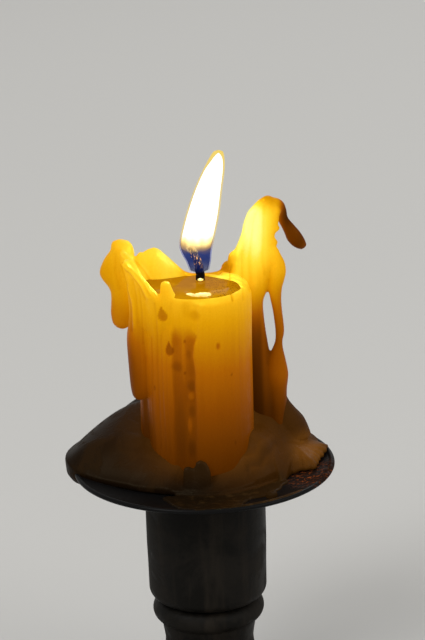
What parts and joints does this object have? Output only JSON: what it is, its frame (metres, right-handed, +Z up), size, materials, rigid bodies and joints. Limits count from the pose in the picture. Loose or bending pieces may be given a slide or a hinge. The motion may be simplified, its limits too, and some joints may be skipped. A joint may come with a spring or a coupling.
{
  "type": "melted candle",
  "caption": "Short household candle burnt down, guttered and alight, welded by its own run-off wax into a small turned metal holder with a dished drip pan.",
  "frame": {"origin": "middle of the holder's flat foot, on the surface it stands on", "axes": "+Z up along the candle; the open side of the run-off and the front of the pool face -Y, and the tall leaning horn of wax stands towards +X"},
  "size_m": [0.0602, 0.0584, 0.1306],
  "materials": {
    "candle_wax": "golden yellow wax, lit from within at the top and amber lower down, with drips and grooves",
    "molten_wax": "clear melted wax with a wet shine",
    "charred_cotton": "braided cotton, burnt black, its end glowing",
    "burning_gas": "luminous flame, white in the middle, yellow at its edge and blue at its root",
    "runoff_wax": "set wax, dull tan and dusty, in layers with chipped edges",
    "pan_enamel": "near-black enamel, chipped and rusted at its edge",
    "stem_metal": "dull dark cast metal, brown with age"
  },
  "bodies": {
    "root": {"candle": "candle_wax", "melt_pool": "molten_wax", "wick": "charred_cotton", "flame": "burning_gas", "wax_runoff": "runoff_wax", "drip_pan": "pan_enamel", "candle_cup": "stem_metal", "foot": "stem_metal"}
  },
  "joints": []
}
